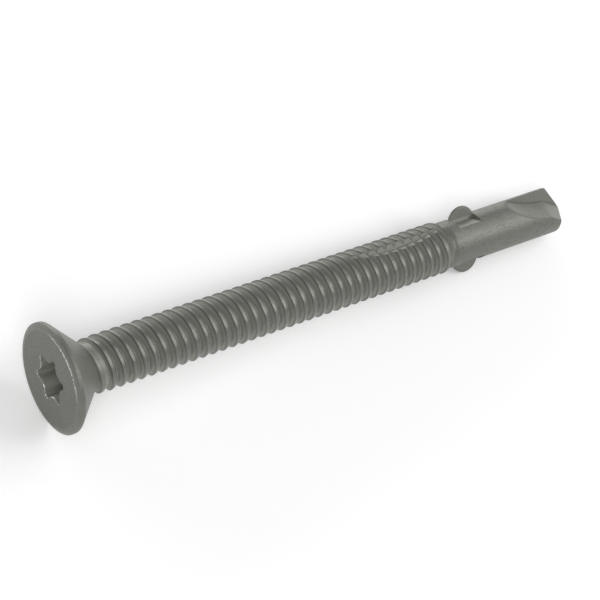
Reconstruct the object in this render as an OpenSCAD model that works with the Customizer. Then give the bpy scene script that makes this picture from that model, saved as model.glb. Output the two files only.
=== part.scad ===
// Winged self-drilling screw with a flat countersunk head, lying as it comes to rest.
// Every feature is drawn along +Z from the head's face to the drill point, and rest_pose() lays it down.
// Angles round the screw are counted from +X towards +Y, and the wings stand along Y.

/* [Overall] */
// Length from the head's face to the drill point
overall_len = 63.25; // [50:0.05:80]

/* [Head] */
// Diameter over the rim
head_d = 10.73; // [9:0.01:13]
// Width of the rounded shoulder between the rim and the flat face
shoulder_w = 0.65; // [0.3:0.01:1.2]
// Height of that shoulder
shoulder_h = 0.23; // [0.1:0.01:0.5]
// Height of the straight band at the rim
rim_band = 0.345; // [0.1:0.005:0.8]
// Radius on both corners of that band
rim_round = 0.08; // [0.02:0.01:0.15]
// Full angle of the countersunk seat
seat_angle = 90; // [78:1:100]
// Diameter of the plain neck under the head
neck_d = 4.76; // [4.3:0.01:5.2]

/* [Six-lobe recess] */
// Size over two opposite lobes
recess_d = 4.8; // [4:0.01:5.2]
// Size between two opposite inner walls
recess_inner_d = 3.42; // [3:0.01:3.7]
// Radius at the end of a lobe
recess_lobe_r = 0.35; // [0.25:0.01:0.5]
// Depth of the straight walls
recess_depth = 2.4; // [1.2:0.05:2.8]
// Height of the coned floor below them
recess_floor_h = 0.7; // [0.3:0.05:1.2]
// Turn of a lobe from +X
recess_turn = 4; // [0:1:60]

/* [Thread] */
// Diameter over the crests
thread_d = 5.48; // [5.1:0.01:6]
// Diameter at the root
root_d = 4.26; // [3.8:0.01:4.6]
// Distance from crest to crest
crest_spacing = 1.15; // [0.9:0.01:1.5]
// Number of starts
thread_starts = 2; // [1:1:3]
// Width of a crest's land
crest_land = 0.36; // [0.1:0.01:0.5]
// How far that land falls towards the drill point
crest_fall = 0.1; // [0:0.01:0.3]
// Flat width of the root
root_land = 0.13; // [0.05:0.01:0.3]
// Height below the face where the first crest leaves the neck
thread_begin = 2.6; // [2.2:0.05:4]
// Length over which the crests grow to full height
run_in = 2.65; // [1:0.05:4]
// Length over which the crests fade in front of the drill shank
run_out = 0.66; // [0.3:0.01:1.5]
// Angle at which the first start would cross the head's face
thread_turn = 95; // [0:1:360]

/* [Tapping slot] */
// Distance from the drill point to the slot's deepest place
slot_from_tip = 23.35; // [20:0.05:32]
// Radius of the cutter that sinks the slot's floor
slot_cutter_r = 30; // [18:0.5:40]
// Height of the slot's floor over the screw's axis
slot_floor = 1.77; // [1.4:0.01:2.1]
// Distance from the screw's axis to the slot's upright wall
slot_wall = 0.98; // [0.5:0.01:1.5]

/* [Drill shank] */
// Diameter of the plain shank
drill_d = 4.945; // [4.6:0.005:5.2]
// Length of the shank from its shoulder to the drill point
drill_len = 16.13; // [15.2:0.01:19]
// Radius of the rounded step between the thread root and the shank
step_round = 0.9; // [0.5:0.05:1.5]
// Height of the drill point
point_h = 1.75; // [1:0.05:2.6]
// Distance from the axis to the apex of each lip's cone, which gives the lip its relief
point_relief = 0.1; // [0:0.01:0.3]

/* [Drill flutes] */
// Distance from the drill point to a flute's deepest place
flute_from_tip = 0.95; // [0:0.05:2]
// Radius of the cutter that sinks the flute's floor
flute_cutter_r = 18; // [15:0.5:30]
// Height of the flute's floor over the screw's axis
flute_web = 0.98; // [0.7:0.005:1.3]
// Turn of the flute's floor from the wings
flute_turn = 30; // [10:1:45]
// Distance from the axis to the cutting wall
lip_offset = 0.08; // [0.02:0.01:0.3]
// Half width of the chisel edge
chisel_half = 0.09; // [0.05:0.01:0.3]
// Angle between the thinned web and the axis
gash_angle = 23.5; // [12:0.5:30]
// Turn of the thinned web from the wings
gash_turn = 36; // [20:1:45]

/* [Wings] */
// Distance from the drill point to the wings' middle
wing_from_tip = 13.72; // [12:0.02:14.2]
// Radius of a wing's rounded outline
wing_r = 1.85; // [1.5:0.01:2.2]
// Distance of the outline's centre from the axis
wing_out = 1.73; // [1.5:0.01:2.2]
// Thickness of a wing
wing_t = 0.4; // [0.2:0.01:0.7]
// Width of the bevel along a wing's edge
wing_bevel = 0.2; // [0.05:0.01:0.4]
// Length of the pressed flats beside the wings
flat_len = 3.04; // [2:0.02:3.6]
// Height of these flats over the axis, at a wing
flat_h = 2.05; // [1.8:0.01:2.3]
// Fall of the flats away from a wing
flat_fall = 7; // [0:0.5:12]

/* [Hidden] */
$fn = 96;

// Steps of the thread in one turn, and facets of the long, slow cutters
turn_steps = 32;
sweep_fn = 360;
// How far one feature reaches into the next, and how far a cutter passes the surface
bury = 0.06;
past = 1;
steel = [0.42, 0.42, 0.385];
// How far the resting screw has rolled away from the wing that stops it, and how far past the flutes'
// start its shank touches the floor
rest_roll = 4;
rest_past_flute = 0.25;

head_r = head_d / 2;
neck_r = neck_d / 2;
thread_r = thread_d / 2;
root_r = root_d / 2;
drill_r = drill_d / 2;
// The shoulder is an arc that leaves the face tangentially and turns into the rim's upper edge
shoulder_r = (pow(shoulder_w, 2) + pow(shoulder_h, 2)) / (2 * shoulder_h);
shoulder_turn = asin((shoulder_w - rim_round) / (shoulder_r - rim_round));
rim_top = shoulder_r - (shoulder_r - rim_round) * cos(shoulder_turn);
seat_slope = tan(seat_angle / 2);
rim_bottom = shoulder_h + rim_band;
seat_end = rim_bottom + (head_r - neck_r) / seat_slope;
tip = overall_len;
shank_begin = tip - drill_len;
wing_z = tip - wing_from_tip;
flute_low = tip - flute_from_tip;
flute_begin = flute_low - sqrt(pow(flute_cutter_r, 2) - pow(flute_cutter_r - drill_r + flute_web, 2));

// Thread: its lines run round the screw, four to a crest, and each line rises by one lead in a turn
lead = crest_spacing * thread_starts;
lines = 4 * thread_starts;
thread_end = shank_begin - step_round * 0.45;
flank_w = (crest_spacing - crest_land - root_land) / 2;
neck_end = thread_begin + run_in * 0.87;
neck_fade = 0.9;
// The solid's first and last turns stay inside the neck and the shank
first_line = thread_begin - lead;
last_line = thread_end + bury;
// Heights of the four lines over the root, as shares of the crest's height
line_height = [0, 1, 1 - crest_fall / (thread_r - root_r), 0];
first_turn = thread_turn + (first_line + crest_land / 2 + flank_w) / lead * 360;
thread_rows = ceil((last_line - first_line) / lead * turn_steps);

function line_offset(line) =
    let (crest = floor(line / 4), place = line % 4)
    crest * crest_spacing
    + [-crest_land / 2 - flank_w, -crest_land / 2, crest_land / 2, crest_land / 2 + flank_w][place];
function row_angle(row) = first_turn + 360 * row / turn_steps;
function line_z(row, line) =
    (row_angle(row) - thread_turn) / 360 * lead + line_offset(line);
function crest_r(z) =
    z < thread_begin ? neck_r - bury * min(1, (thread_begin - z) / bury / 4)
    : z < thread_begin + run_in ? neck_r + (thread_r - neck_r) * sin(90 * (z - thread_begin) / run_in)
    : z < thread_end - run_out ? thread_r
    : z < thread_end ? root_r + (thread_r - root_r) * (thread_end - z) / run_out
    : root_r;
function line_point(row, line) =
    let (z = line_z(row, line), turn = row_angle(row))
    let (r = root_r + (crest_r(z) - root_r) * line_height[line % 4])
    [r * cos(turn), r * sin(turn), z];
function point_index(row, line) =
    line == lines ? point_index(row + turn_steps, 0)
    : row <= thread_rows ? row * lines + line
    : (thread_rows + 1) * lines + row - thread_rows - 1;

// Recess: the inner arc touches both lobes beside it
lobe_centre = recess_d / 2 - recess_lobe_r;
inner_r = recess_inner_d / 2;
inner_arc_r =
    (pow(lobe_centre, 2) + pow(inner_r, 2) - pow(recess_lobe_r, 2)
        - 2 * cos(30) * lobe_centre * inner_r)
    / (2 * recess_lobe_r + 2 * cos(30) * lobe_centre - 2 * inner_r);

// Wings: the bevels leave a narrow edge
wing_reach = wing_out + wing_r;
wing_edge_half = wing_t / 2 - 0.7 * min(wing_t / 2, wing_bevel);

// Rest: the rim and the shank beside the flutes touch the floor, and the lower wing stays just above it
rest_slope = (head_r - drill_r) / (flute_begin + rest_past_flute - rim_bottom);
rest_tilt = atan(rest_slope);
wing_floor = head_r - rest_slope * (wing_z - rim_bottom);
wing_corner_r = sqrt(pow(wing_reach, 2) + pow(wing_edge_half, 2));
rest_turn = acos(wing_floor / wing_corner_r) + atan(wing_edge_half / wing_reach) + rest_roll;
rest_height = rim_bottom * sin(rest_tilt) + head_r * cos(rest_tilt);
rest_shift = (tip * cos(rest_tilt) - (head_r - shoulder_w) * sin(rest_tilt)) / 2;

module rest_pose() {
    translate([-rest_shift, 0, rest_height])
        rotate([0, rest_tilt, 0])
        rotate([-rest_turn, 0, 0])
        rotate([90, 0, 90])
        children();
}

module head() {
    rotate_extrude()
        polygon(concat(
            [[0, 0]],
            [for (part = [0:5])
                let (turn = shoulder_turn * part / 5)
                [head_r - shoulder_w + shoulder_r * sin(turn), shoulder_r - shoulder_r * cos(turn)]],
            [for (part = [1:5])
                let (turn = shoulder_turn + (90 - shoulder_turn) * part / 5)
                [head_r - rim_round + rim_round * sin(turn), rim_top - rim_round * cos(turn)]],
            [for (turn = [0:15:90 - seat_angle / 2]) [
                head_r - rim_round + rim_round * cos(turn),
                rim_bottom - rim_round * tan(45 - seat_angle / 4) + rim_round * sin(turn)]],
            [[neck_r, seat_end], [neck_r, neck_end], [root_r - bury, neck_end + neck_fade],
                [0, neck_end + neck_fade]]));
}

module thread() {
    rows = [0:thread_rows - 1];
    round = [0:turn_steps - 1];
    across = [0:lines - 1];
    below = (thread_rows + 1) * lines + turn_steps;
    above = below + 1;
    polyhedron(
        points = concat(
            [for (row = [0:thread_rows], line = across) line_point(row, line)],
            [for (row = round) line_point(thread_rows + 1 + row, 0)],
            [[0, 0, (line_z(0, 0) + line_z(turn_steps, 0)) / 2],
                [0, 0, (line_z(thread_rows, 0) + line_z(thread_rows + turn_steps, 0)) / 2]]),
        faces = concat(
            [for (row = rows, line = across)
                [point_index(row, line), point_index(row, line + 1), point_index(row + 1, line + 1)]],
            [for (row = rows, line = across)
                [point_index(row, line), point_index(row + 1, line + 1), point_index(row + 1, line)]],
            [for (row = round) [point_index(row, 0), point_index(row + 1, 0), below]],
            [for (line = across) [point_index(0, line + 1), point_index(0, line), below]],
            [for (row = round)
                [point_index(thread_rows + row + 1, 0), point_index(thread_rows + row, 0), above]],
            [for (line = across)
                [point_index(thread_rows, line), point_index(thread_rows, line + 1), above]]));
}

module drill_shank() {
    step_turn = acos(1 - (drill_r - root_r + bury) / step_round);
    rotate_extrude()
        polygon(concat(
            [[0, shank_begin - step_round * sin(step_turn)]],
            [for (part = [6:-1:0])
                let (turn = step_turn * part / 6)
                [drill_r - step_round * (1 - cos(turn)), shank_begin - step_round * sin(turn)]],
            [[drill_r, tip], [0, tip]]));
}

module lip_cone() {
    slope = drill_r / point_h;
    apex = tip + point_relief / slope;
    intersection() {
        translate([0, -drill_d, 0]) cube([drill_d, 2 * drill_d, tip]);
        rotate(135)
            translate([point_relief, 0, 0])
            cylinder(r1 = apex * slope, r2 = 0, h = apex, $fn = sweep_fn);
    }
}

module wing() {
    half = wing_t / 2;
    translate([0, wing_out, wing_z])
        rotate([0, 90, 0])
        rotate_extrude()
        polygon([
            [0, -half], [wing_r - wing_bevel, -half], [wing_r, -wing_edge_half],
            [wing_r, wing_edge_half], [wing_r - wing_bevel, half], [0, half]]);
}

module wing_flats() {
    for (side = [0, 1])
        mirror([side, 0, 0])
        translate([0, flat_h, wing_z - flat_len / 2])
        rotate([0, 0, -flat_fall])
        cube([drill_d, drill_d, flat_len]);
}

module lobe_outline() {
    difference() {
        polygon([for (turn = [0:30:330])
            (turn % 60 == 0 ? lobe_centre : inner_r + inner_arc_r) * [cos(turn), sin(turn)]]);
        for (turn = [30:60:330])
            rotate(turn) translate([inner_r + inner_arc_r, 0]) circle(r = inner_arc_r, $fn = 64);
    }
    for (turn = [0:60:300])
        rotate(turn) translate([lobe_centre, 0]) circle(r = recess_lobe_r, $fn = 48);
}

module recess() {
    lobe_r = recess_d / 2;
    bottom = recess_depth + recess_floor_h;
    rotate(recess_turn)
        intersection() {
            translate([0, 0, -past]) linear_extrude(height = past + bottom) lobe_outline();
            rotate_extrude()
                polygon([
                    [0, -past], [lobe_r + past, -past], [lobe_r + past, recess_depth],
                    [lobe_r, recess_depth], [0, bottom]]);
        }
}

module tapping_slot() {
    reach = head_d;
    translate([-reach, slot_floor + slot_cutter_r, tip - slot_from_tip])
        rotate([0, 90, 0])
        cylinder(r = slot_cutter_r, h = reach - slot_wall, $fn = sweep_fn);
}

module behind_lip() {
    translate([-drill_d, -drill_d, flute_begin])
        cube([drill_d + lip_offset, 2 * drill_d, tip - flute_begin + past]);
}

module drill_flute() {
    intersection() {
        behind_lip();
        rotate(flute_turn)
            translate([-drill_d, flute_web + flute_cutter_r, flute_low])
            rotate([0, 90, 0])
            cylinder(r = flute_cutter_r, h = 2 * drill_d, $fn = sweep_fn);
    }
    intersection() {
        behind_lip();
        translate([lip_offset, chisel_half, tip])
            rotate([0, 90 - gash_angle, 90 + gash_turn])
            translate([-3 * drill_d, -3 * drill_d, 0])
            cube([6 * drill_d, 6 * drill_d, 3 * drill_d]);
    }
}

module screw() {
    color(steel)
        rest_pose()
        difference() {
            union() {
                head();
                thread();
                difference() {
                    intersection() {
                        drill_shank();
                        union() {
                            lip_cone();
                            rotate(180) lip_cone();
                        }
                    }
                    wing_flats();
                    rotate(180) wing_flats();
                }
                wing();
                rotate(180) wing();
            }
            recess();
            tapping_slot();
            drill_flute();
            rotate(180) drill_flute();
        }
}

screw();
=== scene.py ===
import math

import bpy
import numpy as np
from mathutils import Matrix, Vector


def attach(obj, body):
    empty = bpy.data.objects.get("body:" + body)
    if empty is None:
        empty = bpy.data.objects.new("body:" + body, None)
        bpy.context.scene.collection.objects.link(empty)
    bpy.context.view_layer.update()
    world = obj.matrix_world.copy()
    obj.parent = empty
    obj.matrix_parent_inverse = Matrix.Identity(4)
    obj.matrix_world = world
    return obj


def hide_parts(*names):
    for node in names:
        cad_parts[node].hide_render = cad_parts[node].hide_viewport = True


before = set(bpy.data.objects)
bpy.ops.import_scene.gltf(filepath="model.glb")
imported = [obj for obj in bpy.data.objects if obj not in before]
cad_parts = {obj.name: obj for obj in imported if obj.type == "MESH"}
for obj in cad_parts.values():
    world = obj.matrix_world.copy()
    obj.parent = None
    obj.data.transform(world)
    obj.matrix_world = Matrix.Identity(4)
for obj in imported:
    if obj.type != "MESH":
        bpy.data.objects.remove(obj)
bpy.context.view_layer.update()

scene = bpy.context.scene
MM = 0.001

# Sizes in mm and degrees, as in the CAD source. Solids are drawn along +Z from the head's face to the drill
# point, and the wings stand along Y.
TIP = 63.25
HEAD_R, SHOULDER_W, SHOULDER_H = 5.365, 0.65, 0.23
RIM_BAND, RIM_ROUND, NECK_R = 0.345, 0.08, 2.38
RECESS_R, INNER_R, LOBE_R, RECESS_DEPTH, FLOOR_H, RECESS_TURN = 2.4, 1.71, 0.35, 2.4, 0.7, 4
THREAD_R, ROOT_R, PITCH, STARTS = 2.74, 2.13, 1.15, 2
CREST_LAND, CREST_FALL, ROOT_LAND = 0.36, 0.1, 0.13
THREAD_BEGIN, RUN_IN, RUN_OUT, THREAD_TURN = 2.6, 2.65, 0.66, 95
SLOT_FROM_TIP, SLOT_CUTTER_R, SLOT_FLOOR, SLOT_WALL = 23.35, 30, 1.77, 0.98
DRILL_R, DRILL_LEN, STEP_ROUND, POINT_H, RELIEF = 2.4725, 16.13, 0.9, 1.75, 0.1
FLUTE_FROM_TIP, FLUTE_CUTTER_R, FLUTE_WEB, FLUTE_TURN = 0.95, 18, 0.98, 30
LIP_OFFSET, CHISEL_HALF, GASH_ANGLE, GASH_TURN = 0.08, 0.09, 23.5, 36
WING_FROM_TIP, WING_R, WING_OUT, WING_T, WING_BEVEL = 13.72, 1.85, 1.73, 0.4, 0.2
FLAT_LEN, FLAT_H, FLAT_FALL = 3.04, 2.05, 7
REST_ROLL, REST_PAST_FLUTE = 4, 0.25
# How far one feature reaches into the next, and the length of the neck's cone to the thread root
BURY, NECK_FADE = 0.06, 0.9

# The shoulder is an arc that leaves the face tangentially and turns into the rim's upper edge
SHOULDER_R = (SHOULDER_W**2 + SHOULDER_H**2) / (2 * SHOULDER_H)
SHOULDER_TURN = math.asin((SHOULDER_W - RIM_ROUND) / (SHOULDER_R - RIM_ROUND))
RIM_TOP = SHOULDER_R - (SHOULDER_R - RIM_ROUND) * math.cos(SHOULDER_TURN)
RIM_BOTTOM = SHOULDER_H + RIM_BAND
# The seat falls at 45 degrees to the axis, as far along the screw as it goes in
SEAT_END = RIM_BOTTOM + HEAD_R - NECK_R
SHANK_BEGIN = TIP - DRILL_LEN
WING_Z = TIP - WING_FROM_TIP
# The bevels leave a narrow edge on a wing
WING_EDGE_HALF = WING_T / 2 - 0.7 * min(WING_T / 2, WING_BEVEL)
FLUTE_LOW = TIP - FLUTE_FROM_TIP
FLUTE_BEGIN = FLUTE_LOW - math.sqrt(FLUTE_CUTTER_R**2 - (FLUTE_CUTTER_R - DRILL_R + FLUTE_WEB) ** 2)
LEAD = PITCH * STARTS
FLANK = (PITCH - CREST_LAND - ROOT_LAND) / 2
RIDGE = THREAD_R - ROOT_R
THREAD_END = SHANK_BEGIN - STEP_ROUND * 0.45
NECK_END = THREAD_BEGIN + RUN_IN * 0.87

# Only here, and not in the CAD: steps of round shapes, and the softening of edges in mm
ROUND_STEPS, CONE_STEPS, WING_STEPS, WHEEL_STEPS = 192, 384, 96, 96
TURN_STEPS, RECESS_STEPS, CORNER_STEPS = 96, 360, 3
SHOULDER_STEPS, RIM_STEPS, FILLET_STEPS, STEP_STEPS = 10, 6, 5, 10
NECK_FILLET, MOUTH_WORN, WING_SOFT = 0.5, 0.07, 0.02
FOOT_ROUND, CREST_ROUND, LAND_ROUND = 0.07, 0.06, 0.05
# How far cutters reach past the screw's sides, and how much of a cutting wheel is drawn to each side, in mm
CLEAR, WHEEL_HALF = 8, 9
# Edges that turn more than this stay sharp, and flat faces have this weight in the shading
SHARP_ANGLE, FLAT_WEIGHT = 28, 90

# How the screw lies: the same turn, tilt and shift as in the CAD
slope = (HEAD_R - DRILL_R) / (FLUTE_BEGIN + REST_PAST_FLUTE - RIM_BOTTOM)
tilt = math.atan(slope)
wing_floor = HEAD_R - slope * (WING_Z - RIM_BOTTOM)
wing_corner = math.hypot(WING_R + WING_OUT, WING_EDGE_HALF)
turn = (math.acos(wing_floor / wing_corner) + math.atan(WING_EDGE_HALF / (WING_R + WING_OUT))
        + math.radians(REST_ROLL))
height = RIM_BOTTOM * math.sin(tilt) + HEAD_R * math.cos(tilt)
shift = (TIP * math.cos(tilt) - (HEAD_R - SHOULDER_W) * math.sin(tilt)) / 2
# Photo frame: x along the screw, y along its wings. DESIGN takes the solids' axes to it, and LIE lays it down.
DESIGN = Matrix(((0, 0, 1), (1, 0, 0), (0, 1, 0))).to_4x4()
LIE = (Matrix.Translation(Vector((-shift, 0, height)) * MM)
       @ Matrix.Rotation(tilt, 4, "Y") @ Matrix.Rotation(-turn, 4, "X"))
REST = LIE @ DESIGN @ Matrix.Scale(MM, 4)


# Solids and what is done with them, in mm in the solids' own axes
def solid(name, points, faces):
    mesh = bpy.data.meshes.new(name)
    mesh.from_pydata([tuple(p) for p in points], [], [tuple(int(i) for i in f) for f in faces])
    mesh.update()
    made = bpy.data.objects.new(name, mesh)
    scene.collection.objects.link(made)
    return made


def settle(target):
    """The target's modifiers become part of its mesh."""
    bpy.context.view_layer.update()
    graph = bpy.context.evaluated_depsgraph_get()
    mesh = bpy.data.meshes.new_from_object(target.evaluated_get(graph))
    target.modifiers.clear()
    target.data = mesh


def combine(target, other, how):
    """The target becomes its union, difference or intersection with the other solid, which goes."""
    step = target.modifiers.new("combine", "BOOLEAN")
    step.object = other
    step.operation = how
    step.solver = "MANIFOLD"
    settle(target)
    bpy.data.objects.remove(other)
    return target


def turned(axis, degrees):
    return Matrix.Rotation(math.radians(degrees), 4, axis)


def arc(r, z, radius, begin, end, steps):
    """Points of a profile round (r, z). Its angles in radians count from -Z towards +R."""
    turns = [begin + (end - begin) * k / steps for k in range(steps + 1)]
    return [(r + radius * math.sin(a), z - radius * math.cos(a)) for a in turns]


def lathe(name, profile, steps=ROUND_STEPS, centre=(0, 0)):
    """A profile turned about Z. It runs from the axis, round the outside, back to the axis."""
    points, faces, rings = [], [], []
    for r, z in profile:
        rings.append(len(points))
        if r == 0:
            points.append((centre[0], centre[1], z))
        else:
            for k in range(steps):
                a = 2 * math.pi * k / steps
                points.append((centre[0] + r * math.cos(a), centre[1] + r * math.sin(a), z))
    for i in range(len(profile) - 1):
        lower, upper = rings[i], rings[i + 1]
        for k in range(steps):
            j = (k + 1) % steps
            if profile[i][0] == 0:
                faces.append((lower, upper + j, upper + k))
            elif profile[i + 1][0] == 0:
                faces.append((lower + k, lower + j, upper))
            else:
                faces.append((lower + k, lower + j, upper + j, upper + k))
    return solid(name, points, faces)


def prism(name, outline, low, high, place=Matrix.Identity(4)):
    """An outline counted anticlockwise in XY, drawn from low to high along Z, then placed."""
    n = len(outline)
    points = [place @ Vector((x, y, z)) for z in (low, high) for x, y in outline]
    faces = [tuple(range(n - 1, -1, -1)), tuple(range(n, 2 * n))]
    faces += [(k, (k + 1) % n, n + (k + 1) % n, n + k) for k in range(n)]
    return solid(name, points, faces)


def box(name, low, high, place=Matrix.Identity(4)):
    outline = [(low[0], low[1]), (high[0], low[1]), (high[0], high[1]), (low[0], high[1])]
    return prism(name, outline, low[2], high[2], place)


def make_head():
    """A flat face, a softly rounded shoulder, the rim, and the countersunk seat with its filleted neck."""
    quarter, eighth = math.pi / 2, math.pi / 4
    profile = [(0, 0)]
    profile += arc(HEAD_R - SHOULDER_W, SHOULDER_R, SHOULDER_R, 0, SHOULDER_TURN, SHOULDER_STEPS)
    profile += arc(HEAD_R - RIM_ROUND, RIM_TOP, RIM_ROUND, SHOULDER_TURN, quarter, RIM_STEPS)[1:]
    # Both rounds turn by an eighth, so they reach this share of their radius past their corners
    reach = math.tan(eighth / 2)
    profile += arc(HEAD_R - RIM_ROUND, RIM_BOTTOM - RIM_ROUND * reach, RIM_ROUND,
                   quarter, quarter + eighth, FILLET_STEPS)
    profile += arc(NECK_R + NECK_FILLET, SEAT_END + NECK_FILLET * reach, NECK_FILLET,
                   -eighth, -quarter, FILLET_STEPS)
    profile += [(NECK_R, NECK_END), (ROOT_R - BURY, NECK_END + NECK_FADE), (0, NECK_END + NECK_FADE)]
    return lathe("head", profile)


def softened(corners):
    """Each corner (x, y, radius) of a line, apart from its ends, becomes an arc."""
    line = [Vector(corners[0][:2])]
    for before, corner, after in zip(corners, corners[1:], corners[2:]):
        at, radius = Vector(corner[:2]), corner[2]
        ways = [(Vector(end[:2]) - at).normalized() for end in (before, after)]
        half = ways[0].angle(ways[1]) / 2
        middle = at + (ways[0] + ways[1]).normalized() * radius / math.sin(half)
        first, last = (at + way * radius / math.tan(half) - middle for way in ways)
        line += [middle + first.slerp(last, k / CORNER_STEPS).normalized() * radius
                 for k in range(CORNER_STEPS + 1)]
    return line + [Vector(corners[-1][:2])]


def ridge_shape():
    """One crest from root to root: distance along the screw from its middle, and share of the full height."""
    land, foot = CREST_LAND / 2, CREST_LAND / 2 + FLANK
    line = softened([(-PITCH / 2, 0), (-foot, 0, FOOT_ROUND), (-land, RIDGE, CREST_ROUND),
                     (land, RIDGE - CREST_FALL, LAND_ROUND), (foot, 0, FOOT_ROUND), (PITCH / 2, 0)])
    return [(x, y / RIDGE) for x, y in line[:-1]]


def crest_r(z):
    """The crests' radius along the screw: under the neck's skin, growing out of it, full, and fading."""
    grown = NECK_R + (THREAD_R - NECK_R) * np.sin(np.pi / 2 * np.clip((z - THREAD_BEGIN) / RUN_IN, 0, 1))
    buried = NECK_R - BURY * np.minimum(1, (THREAD_BEGIN - z) / BURY / 4)
    fade = ROOT_R + (THREAD_R - ROOT_R) * np.clip((THREAD_END - z) / RUN_OUT, 0, 1)
    return np.where(z < THREAD_BEGIN, buried, np.minimum(grown, fade))


def make_thread():
    """One strip of facets that follows both starts. Its lines run round the screw and rise with each row."""
    first_z = THREAD_BEGIN - LEAD
    first_turn = math.radians(THREAD_TURN) + (first_z + PITCH / 2) / LEAD * 2 * math.pi
    rows = math.ceil((THREAD_END + BURY - first_z) / LEAD * TURN_STEPS)
    ridge = ridge_shape()
    offsets = np.array([start * PITCH + x for start in range(STARTS) for x, _ in ridge])
    share = np.array([y for _ in range(STARTS) for _, y in ridge])
    lines = len(offsets)

    def at(row, line):
        angle = first_turn + 2 * math.pi * row / TURN_STEPS
        z = (angle - math.radians(THREAD_TURN)) / (2 * math.pi) * LEAD + offsets[line]
        r = ROOT_R + (crest_r(z) - ROOT_R) * share[line]
        return np.stack([r * np.cos(angle), r * np.sin(angle), z], -1)

    # After the last line of a row comes the first line one turn on, so one more turn of it is needed
    row, line = np.meshgrid(np.arange(rows + 1), np.arange(lines), indexing="ij")
    extra = rows + 1 + np.arange(TURN_STEPS)
    points = np.concatenate([at(row.ravel(), line.ravel()), at(extra, np.zeros(TURN_STEPS, int))])

    def index(r, k):
        if k == lines:
            r, k = r + TURN_STEPS, 0
        return r * lines + k if r <= rows else (rows + 1) * lines + r - rows - 1

    # Both ends are closed by fans round a point on the axis
    below, above = len(points), len(points) + 1
    middle = [(points[index(a, 0)][2] + points[index(a + TURN_STEPS, 0)][2]) / 2 for a in (0, rows)]
    points = np.concatenate([points, [[0, 0, middle[0]], [0, 0, middle[1]]]])
    faces = [(index(r, k), index(r + 1, k), index(r + 1, k + 1), index(r, k + 1))
             for r in range(rows) for k in range(lines)]
    faces += [(index(r + 1, 0), index(r, 0), below) for r in range(TURN_STEPS)]
    faces += [(index(0, k), index(0, k + 1), below) for k in range(lines)]
    faces += [(index(rows + r, 0), index(rows + r + 1, 0), above) for r in range(TURN_STEPS)]
    faces += [(index(rows, k + 1), index(rows, k), above) for k in range(lines)]
    return solid("thread", points, faces)


def make_shank():
    """The drill shank with its rounded step, its two lips' cones and the pressed flats beside the wings."""
    step_turn = math.acos(1 - (DRILL_R - ROOT_R + BURY) / STEP_ROUND)
    step = arc(DRILL_R - STEP_ROUND, SHANK_BEGIN, STEP_ROUND, math.pi / 2 - step_turn, math.pi / 2, STEP_STEPS)
    # Rings every 0.8 mm keep the long faces from shading as one
    rings = [(DRILL_R, SHANK_BEGIN + 0.8 * k) for k in range(1, 20)]
    shank = lathe("shank", [(0, step[0][1])] + step + rings + [(DRILL_R, TIP), (0, TIP)])

    # Each half of the point lies on a cone whose apex is off the axis, which gives the lip its relief
    cone_slope = DRILL_R / POINT_H
    apex = TIP + RELIEF / cone_slope
    wide, cone_begin = 15, 30
    profile = [(0, cone_begin), (wide, cone_begin), (wide, apex - wide / cone_slope), (0, apex)]
    lips = []
    for side in (0, 180):
        centre = turned("Z", side) @ turned("Z", 135) @ Vector((RELIEF, 0, 0))
        cone = lathe("cone", profile, CONE_STEPS, centre[:2])
        half = box("half", (0, -CLEAR, 20), (CLEAR, CLEAR, 80), turned("Z", side))
        lips.append(combine(cone, half, "INTERSECT"))
    combine(shank, combine(lips[0], lips[1], "UNION"), "INTERSECT")

    flat_cut = 5
    for side in (0, 180):
        for hand in (1, -1):
            place = (turned("Z", side) @ Matrix.Diagonal((hand, 1, 1, 1)).to_4x4()
                     @ Matrix.Translation((0, FLAT_H, WING_Z - FLAT_LEN / 2)) @ turned("Z", -FLAT_FALL))
            flat = box("flat", (0, 0, 0), (flat_cut, flat_cut, FLAT_LEN), place)
            if hand < 0:
                flat.data.flip_normals()
            combine(shank, flat, "DIFFERENCE")
    return shank


def make_wing(side):
    """A round disc that stands out of the shank, with bevels whose edges are a little softened."""
    half = WING_T / 2
    upper = [(WING_R, WING_EDGE_HALF / 2), (WING_R - WING_SOFT, WING_EDGE_HALF),
             (WING_R - WING_BEVEL * 0.7, half - WING_SOFT), (WING_R - WING_BEVEL - 0.05, half), (0, half)]
    lower = [(r, -z) for r, z in reversed(upper)]
    wing = lathe("wing", lower + upper, WING_STEPS)
    wing.data.transform(turned("Z", side) @ Matrix.Translation((0, WING_OUT, WING_Z)) @ turned("Y", 90))
    return wing


def lobe_edge(degrees):
    """The recess wall's distance from the axis, in a direction that is counted from a lobe's middle."""
    half = math.radians(30)
    a = abs(math.radians((degrees + 30) % 60 - 30))
    # Lobes are joined by inner arcs that touch them
    lobe = RECESS_R - LOBE_R
    arc_r = ((lobe**2 + INNER_R**2 - LOBE_R**2 - 2 * math.cos(half) * lobe * INNER_R)
             / (2 * LOBE_R + 2 * math.cos(half) * lobe - 2 * INNER_R))
    arc_centre = INNER_R + arc_r
    on, aside = arc_centre * math.cos(half) - lobe, arc_centre / 2
    gap = math.hypot(on, aside)
    touch = math.atan2(LOBE_R * aside / gap, lobe + LOBE_R * on / gap)
    if a <= touch:
        return lobe * math.cos(a) + math.sqrt(max(0, LOBE_R**2 - (lobe * math.sin(a)) ** 2))
    b = half - a
    return arc_centre * math.cos(b) - math.sqrt(max(0, arc_r**2 - (arc_centre * math.sin(b)) ** 2))


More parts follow.
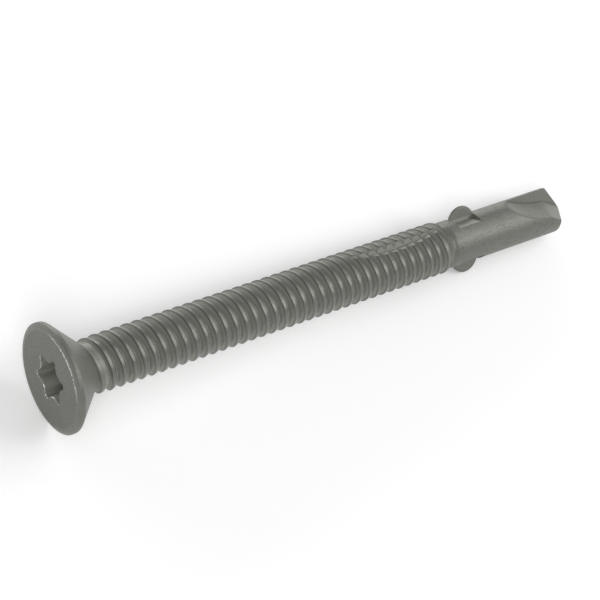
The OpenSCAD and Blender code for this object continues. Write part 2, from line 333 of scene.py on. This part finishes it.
def make_recess():
    """The six-lobe hole with its worn mouth and coned floor."""
    # Height and added width of each ring, from above the face to the floor, whose height follows its cone
    rings = [(-0.6, MOUTH_WORN + 0.02), (0.0, MOUTH_WORN), (MOUTH_WORN * 0.3, MOUTH_WORN * 0.5),
             (MOUTH_WORN, MOUTH_WORN * 0.1), (MOUTH_WORN * 1.4, 0), (None, 0)]
    n = RECESS_STEPS
    points = []
    for z, wider in rings:
        for k in range(n):
            a = 360 * k / n
            r = lobe_edge(a)
            deep = RECESS_DEPTH + FLOOR_H * (RECESS_R - r) / RECESS_R if z is None else z
            t = math.radians(a + RECESS_TURN)
            points.append(((r + wider) * math.cos(t), (r + wider) * math.sin(t), deep))
    faces = [(i * n + k, i * n + (k + 1) % n, (i + 1) * n + (k + 1) % n, (i + 1) * n + k)
             for i in range(len(rings) - 1) for k in range(n)]
    last = (len(rings) - 1) * n
    top, bottom = len(points), len(points) + 1
    points += [(0, 0, rings[0][0]), (0, 0, RECESS_DEPTH + FLOOR_H)]
    faces += [(top, (k + 1) % n, k) for k in range(n)]
    faces += [(bottom, last + k, last + (k + 1) % n) for k in range(n)]
    return solid("recess", points, faces)


def wheel_cut(name, radius, floor, centre_z, low, high, degrees=0):
    """What a wheel cuts out from low to high in X, open towards +Y, with its deepest place at centre_z."""
    outline = []
    for k in range(WHEEL_STEPS + 1):
        dz = -WHEEL_HALF + 2 * WHEEL_HALF * k / WHEEL_STEPS
        outline.append((centre_z + dz, floor + radius - math.sqrt(radius**2 - dz**2)))
    outline += [(centre_z + WHEEL_HALF, WHEEL_HALF), (centre_z - WHEEL_HALF, WHEEL_HALF)]
    # The outline's x is the screw's Z, its y the screw's Y, and its depth the screw's -X
    place = turned("Z", degrees) @ Matrix(((0, 0, -1, 0), (0, 1, 0, 0), (1, 0, 0, 0), (0, 0, 0, 1)))
    return prism(name, outline, -high, -low, place)


def make_slot():
    return wheel_cut("slot", SLOT_CUTTER_R, SLOT_FLOOR, TIP - SLOT_FROM_TIP, -CLEAR, -SLOT_WALL)


def make_flute(side):
    """A flute and the gash that thins the web, both only up to the cutting wall."""
    cutter = wheel_cut("flute", FLUTE_CUTTER_R, FLUTE_WEB, FLUTE_LOW, -CLEAR, CLEAR, FLUTE_TURN)
    place = (Matrix.Translation((LIP_OFFSET, CHISEL_HALF, TIP)) @ turned("Z", 90 + GASH_TURN)
             @ turned("Y", 90 - GASH_ANGLE))
    gash = box("gash", (-20, -20, 0), (20, 20, 15), place)
    for cut in (cutter, gash):
        behind = box("behind", (-CLEAR, -CLEAR, FLUTE_BEGIN - 1), (LIP_OFFSET, CLEAR, TIP + 2))
        combine(cut, behind, "INTERSECT")
    combine(cutter, gash, "UNION")
    cutter.data.transform(turned("Z", side))
    return cutter


screw = make_head()
screw.name = "screw_body"
for added in (make_thread(), make_shank(), make_wing(0), make_wing(180)):
    combine(screw, added, "UNION")
for cut in (make_recess(), make_slot(), make_flute(0), make_flute(180)):
    combine(screw, cut, "DIFFERENCE")

# Flat faces keep their own normals, so that only the softened edges between them shade round
screw.data.polygons.foreach_set("use_smooth", [True] * len(screw.data.polygons))
screw.data.set_sharp_from_angle(angle=math.radians(SHARP_ANGLE))
weigh = screw.modifiers.new("weigh", "WEIGHTED_NORMAL")
weigh.weight = FLAT_WEIGHT
weigh.keep_sharp = True
settle(screw)
screw.data.transform(REST)

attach(screw, "root")
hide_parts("screw")


# Materials
def grey(level, blue):
    """An olive grey, with less blue than red and green."""
    return (level, level, blue, 1)


COAT_DARK, COAT_LIGHT, GRAIN, DULL = grey(0.176, 0.157), grey(0.196, 0.176), grey(0.105, 0.094), grey(0.1, 0.09)
STREAK, PIT, CREST = grey(0.27, 0.245), grey(0.07, 0.064), grey(0.142, 0.128)
# The tones on this line are painted light, which lightens the shade in grooves, flutes and the recess
GROOVE_PAINTED_LIGHT, FLUTE_PAINTED_LIGHT, RECESS_PAINTED_LIGHT = grey(0.32, 0.288), grey(0.34, 0.305), grey(0.46, 0.413)
# A ring of faint wear with a painted highlight on one side, and wear at the recess's mouth
RING_WEAR_AND_HIGHLIGHT, RUBBED_MOUTH = grey(0.75, 0.7), grey(0.6, 0.56)
# The side of the face's edge that gets a painted highlight, in degrees from +X
HIGHLIGHT_SIDE = 148
METALLIC = 0.55


def node(tree, kind, **values):
    made = tree.nodes.new(kind)
    for key, value in values.items():
        setattr(made, key, value)
    return made


def empty_material(name):
    material = bpy.data.materials.new(name)
    material.use_nodes = True
    material.node_tree.nodes.clear()
    return material, material.node_tree, material.node_tree.links.new


def coated_steel():
    """Satin olive-grey coating: fine grain, streaks along the shank, worn crests and edges, painted light in
    the grooves, flutes, recess and on the flats beside the wings, and a painted highlight on one side of the
    face's edge.
    """
    material, tree, link = empty_material("satin_grey_coating")
    out = node(tree, "ShaderNodeOutputMaterial")
    shader = node(tree, "ShaderNodeBsdfPrincipled")
    link(shader.outputs[0], out.inputs[0])
    shader.inputs["Metallic"].default_value = METALLIC
    # Texture space is in mm in the solids' own axes, so streaks run along the screw
    place = node(tree, "ShaderNodeTexCoord")
    own = node(tree, "ShaderNodeMapping", vector_type="TEXTURE")
    where, way, size = REST.decompose()
    own.inputs["Location"].default_value = where
    own.inputs["Rotation"].default_value = way.to_euler()
    own.inputs["Scale"].default_value = size
    link(place.outputs["Object"], own.inputs[0])

    def put(socket, value):
        if hasattr(value, "is_linked"):
            link(value, socket)
        else:
            socket.default_value = value

    def noise(scale, detail=3.0, rough=0.55):
        """Noise with so many cells per mm across X, across Y and along the screw."""
        sized = node(tree, "ShaderNodeMapping")
        sized.inputs["Scale"].default_value = scale
        link(own.outputs[0], sized.inputs[0])
        made = node(tree, "ShaderNodeTexNoise")
        made.inputs["Scale"].default_value = 1.0
        made.inputs["Detail"].default_value = detail
        made.inputs["Roughness"].default_value = rough
        link(sized.outputs[0], made.inputs["Vector"])
        return made.outputs[0]

    def spread(value, low, high, to_low=0.0, to_high=1.0):
        """to_low where the value is at low or before it, to_high at high or past it, even between them."""
        made = node(tree, "ShaderNodeMapRange")
        link(value, made.inputs[0])
        for k, v in enumerate((low, high, to_low, to_high), 1):
            made.inputs[k].default_value = v
        return made.outputs[0]

    def joined(values, operation, clamp):
        result = values[0]
        for value in values[1:]:
            made = node(tree, "ShaderNodeMath", operation=operation, use_clamp=clamp)
            put(made.inputs[0], result)
            put(made.inputs[1], value)
            result = made.outputs[0]
        return result

    def times(*values):
        return joined(values, "MULTIPLY", False)

    def plus(*values):
        return joined(values, "ADD", True)

    def within(value, out_low, in_low, in_high, out_high):
        """1 between the two inner limits, 0 past the outer ones."""
        return times(spread(value, out_low, in_low), spread(value, out_high, in_high))

    def mix(share, a, b):
        made = node(tree, "ShaderNodeMix", data_type="RGBA")
        for k, value in ((0, share), (6, a), (7, b)):
            put(made.inputs[k], value)
        return made.outputs[2]

    # Where on the screw, in mm: distance from the axis, from the head's face, from the YZ plane, and
    # towards the side of the face's edge with the painted highlight
    across = node(tree, "ShaderNodeVectorMath", operation="MULTIPLY")
    across.inputs[1].default_value = (1, 1, 0)
    link(own.outputs[0], across.inputs[0])
    length = node(tree, "ShaderNodeVectorMath", operation="LENGTH")
    link(across.outputs[0], length.inputs[0])
    apart = node(tree, "ShaderNodeSeparateXYZ")
    link(own.outputs[0], apart.inputs[0])
    beside = node(tree, "ShaderNodeMath", operation="ABSOLUTE")
    link(apart.outputs[0], beside.inputs[0])
    towards = node(tree, "ShaderNodeVectorMath", operation="DOT_PRODUCT")
    side = math.radians(HIGHLIGHT_SIDE)
    towards.inputs[1].default_value = (math.cos(side), math.sin(side), 0)
    link(own.outputs[0], towards.inputs[0])
    radius, depth, aside = length.outputs["Value"], apart.outputs[2], beside.outputs[0]

    # Masks of the surfaces, each with soft borders
    on_shank = spread(depth, SHANK_BEGIN - 0.7, SHANK_BEGIN)
    on_full = within(depth, SEAT_END + 0.2, SEAT_END + 1, THREAD_END - 1.8, THREAD_END - 1)
    on_crest = times(spread(radius, THREAD_R - 0.19, THREAD_R - 0.12), on_full)
    # Thread grooves, the neck and the thread's end, where light is painted into the colour against their shade
    painted_light_groove = times(spread(radius, THREAD_R - 0.07, THREAD_R - 0.24),
                      spread(depth, SEAT_END - 0.25, SEAT_END),
                      spread(depth, SEAT_END + 0.2, SEAT_END + 1, 0.4, 1),
                      spread(depth, SHANK_BEGIN - 0.35, SHANK_BEGIN - 1.3))
    on_skin = times(within(radius, DRILL_R - 0.1, DRILL_R - 0.03, DRILL_R + 0.03, DRILL_R + 0.1), on_shank)
    # The flute, which gets painted light and pits
    in_flute = times(spread(radius, DRILL_R - 0.05, DRILL_R - 0.3),
                     spread(depth, FLUTE_BEGIN, FLUTE_BEGIN + 0.5),
                     spread(aside, LIP_OFFSET + 0.02, LIP_OFFSET + 0.05))
    # The pressed flats beside the wings, where light is painted into the colour against their shade
    painted_light_wing_flats = times(spread(radius, DRILL_R - 0.01, DRILL_R - 0.08),
                    within(depth, WING_Z - 2, WING_Z - 1.6, WING_Z + 1.6, WING_Z + 2))
    on_rim = times(spread(radius, HEAD_R - 0.6, HEAD_R - 0.5), spread(depth, RIM_TOP + 0.1, RIM_TOP))
    recess_end = RECESS_DEPTH + FLOOR_H
    # Inside the recess, where light is painted into the colour against its shade
    painted_light_recess = times(spread(radius, RECESS_R + 0.1, RECESS_R),
                      within(depth, 0.06, 0.12, recess_end + 0.1, recess_end + 0.3))
    on_mouth = times(spread(radius, RECESS_R + 0.2, RECESS_R + 0.12), within(depth, 0.001, 0.004, 0.08, 0.11))
    face_edge = HEAD_R - SHOULDER_W
    on_ring = times(within(radius, face_edge - 0.06, face_edge, face_edge + 0.12, face_edge + 0.24),
                    spread(depth, 0.1, 0.05))
    # Share round the face's edge: faint wear all round, a painted highlight and a smoother finish on one side
    highlit_side = spread(towards.outputs["Value"], 0.7 * face_edge, 0.98 * face_edge, 0.06, 0.9)
    worn = plus(on_crest, times(on_rim, 0.25), on_mouth, times(on_ring, highlit_side))

    cloud = noise((0.35, 0.35, 0.35))
    grain = noise((6, 6, 6), 3, 0.7)
    speck = noise((3.5, 3.5, 3.5), 2, 0.6)
    streak = noise((9, 9, 0.8), 4, 0.65)
    pits = noise((11, 11, 1.8), 2, 0.5)

    # Colours from the lowest layer up, each with the share of it that shows
    colour = mix(spread(cloud, 0.35, 0.65), COAT_DARK, COAT_LIGHT)
    for share, tone in (
            (spread(grain, 0.42, 0.62, 0, 0.25), GRAIN),
            (times(spread(streak, 0.42, 0.3, 0, 0.4), on_skin), STREAK),
            (times(spread(pits, 0.57, 0.65, 0, 0.5), on_skin), PIT),
            # Painted light in the grooves, the neck and the thread's end, lightening their shade
            (times(painted_light_groove, 0.8), GROOVE_PAINTED_LIGHT),
            (times(on_crest, 0.7), CREST),
            (times(spread(streak, 0.5, 0.66, 0, 0.3), on_full), DULL),
            # Painted light that brightens the flute's floor
            (times(in_flute, 0.62), FLUTE_PAINTED_LIGHT),
            (times(spread(pits, 0.54, 0.62, 0, 0.2), in_flute), DULL),
            (times(spread(grain, 0.42, 0.6, 0, 0.35), spread(depth, 0.1, 0.02)), DULL),
            # Painted light on the pressed flats beside the wings, lightening their shade
            (times(painted_light_wing_flats, 0.6), GROOVE_PAINTED_LIGHT),
            # Faint wear round the face's edge, and a painted highlight on one side of it
            (times(spread(speck, 0.58, 0.44), on_ring, highlit_side), RING_WEAR_AND_HIGHLIGHT),
            (times(spread(speck, 0.66, 0.42, 0.15, 0.75), on_mouth), RUBBED_MOUTH),
            # Painted light inside the recess, lightening its shade
            (times(painted_light_recess, 0.75), RECESS_PAINTED_LIGHT)):
        colour = mix(share, colour, tone)
    link(colour, shader.inputs["Base Color"])

    # Worn places are smoother
    matt = node(tree, "ShaderNodeMix", data_type="FLOAT")
    link(worn, matt.inputs[0])
    link(spread(grain, 0.3, 0.7, 0.42, 0.54), matt.inputs[2])
    link(spread(cloud, 0.35, 0.65, 0.27, 0.32), matt.inputs[3])
    link(matt.outputs[0], shader.inputs["Roughness"])

    # Bumps, with their strength and height in mm
    shaped = None
    for bumps, strength, high in ((grain, 0.3, 0.02), (times(streak, on_shank), 0.35, 0.04)):
        bump = node(tree, "ShaderNodeBump")
        bump.inputs["Strength"].default_value = strength
        bump.inputs["Distance"].default_value = high * MM
        link(bumps, bump.inputs["Height"])
        if shaped:
            link(shaped, bump.inputs["Normal"])
        shaped = bump.outputs[0]
    link(shaped, shader.inputs["Normal"])
    return material


screw.data.materials.clear()
screw.data.materials.append(coated_steel())

# Floor: white paper, 6 m wide, which the camera and the metal see as the photo's plain white ground
FLOOR_HALF, FLOOR_WHITE, FLOOR_GLOW = 3, 0.93, 0.13
floor_mesh = bpy.data.meshes.new("floor")
floor_mesh.from_pydata([(x * FLOOR_HALF, y * FLOOR_HALF, 0) for x, y in ((-1, -1), (1, -1), (1, 1), (-1, 1))],
                       [], [(0, 1, 2, 3)])
floor = bpy.data.objects.new("floor", floor_mesh)
scene.collection.objects.link(floor)


def white_paper():
    material, tree, link = empty_material("white_paper")
    out = node(tree, "ShaderNodeOutputMaterial")
    paper = node(tree, "ShaderNodeBsdfDiffuse")
    paper.inputs["Color"].default_value = (FLOOR_WHITE, FLOOR_WHITE, FLOOR_WHITE, 1)
    glow = node(tree, "ShaderNodeEmission")
    glow.inputs["Color"].default_value = (1, 1, 1, 1)
    ray = node(tree, "ShaderNodeLightPath")
    seen = ray.outputs["Is Camera Ray"]
    for other in ("Is Glossy Ray", "Is Transmission Ray"):
        either = node(tree, "ShaderNodeMath", operation="MAXIMUM")
        link(seen, either.inputs[0])
        link(ray.outputs[other], either.inputs[1])
        seen = either.outputs[0]
    level = node(tree, "ShaderNodeMath", operation="MULTIPLY")
    level.inputs[1].default_value = FLOOR_GLOW
    link(seen, level.inputs[0])
    link(level.outputs[0], glow.inputs["Strength"])
    both = node(tree, "ShaderNodeAddShader")
    link(paper.outputs[0], both.inputs[0])
    link(glow.outputs[0], both.inputs[1])
    link(both.outputs[0], out.inputs[0])
    return material


floor_mesh.materials.append(white_paper())

# World: even white light
WORLD_LEVEL = 0.4
world = bpy.data.worlds.new("studio")
scene.world = world
world.use_nodes = True
background = world.node_tree.nodes["Background"]
background.inputs["Color"].default_value = (1, 1, 1, 1)
background.inputs["Strength"].default_value = WORLD_LEVEL

# Lamps: soft rectangles at this distance from the screw's middle, in metres, which they face
LAMP_AWAY = 0.6


def lamp(name, azimuth, elevation, size, power):
    data = bpy.data.lights.new(name, "AREA")
    data.shape = "RECTANGLE"
    data.size, data.size_y = size
    data.energy = power
    made = bpy.data.objects.new(name, data)
    scene.collection.objects.link(made)
    az, el = math.radians(azimuth), math.radians(elevation)
    made.location = LAMP_AWAY * Vector((math.cos(az) * math.cos(el), math.sin(az) * math.cos(el), math.sin(el)))
    made.rotation_euler = (-made.location).to_track_quat("-Z", "Y").to_euler()


lamp("key", 322, 42, (0.22, 0.22), 0.75)
lamp("head_fill", 225, 45, (0.28, 0.28), 1.15)
lamp("back", 90, 11, (1.1, 0.2), 2.4)
lamp("crest_light", 341, 17, (0.28, 0.2), 0.47)
lamp("tip_fill", 0, 42, (0.35, 0.35), 0.7)

# Camera: at the photo's angle, solved from its outlines in the photo frame, and laid down with the screw
LENS, SENSOR = 111.50, 36
AZIMUTH, ELEVATION, ROLL = -34.031, 18.167, -7.077
CAMERA_AT = (-69.39, -144.56, 56.68)
az, el, roll = (math.radians(v) for v in (AZIMUTH, ELEVATION, ROLL))
back = Vector((math.sin(az) * math.cos(el), -math.cos(az) * math.cos(el), math.sin(el)))
right = Vector((math.cos(az), math.sin(az), 0))
up = back.cross(right)
aimed = Matrix((right, up, back)).transposed() @ Matrix.Rotation(roll, 3, "Z")
camera = bpy.data.objects.new("camera", bpy.data.cameras.new("camera"))
scene.collection.objects.link(camera)
camera.data.lens = LENS
camera.data.sensor_width = SENSOR
camera.data.clip_start, camera.data.clip_end = 0.01, 10
camera.matrix_world = LIE @ Matrix.Translation(Vector(CAMERA_AT) * MM) @ aimed.to_4x4()
scene.camera = camera

scene.view_settings.view_transform = "Standard"
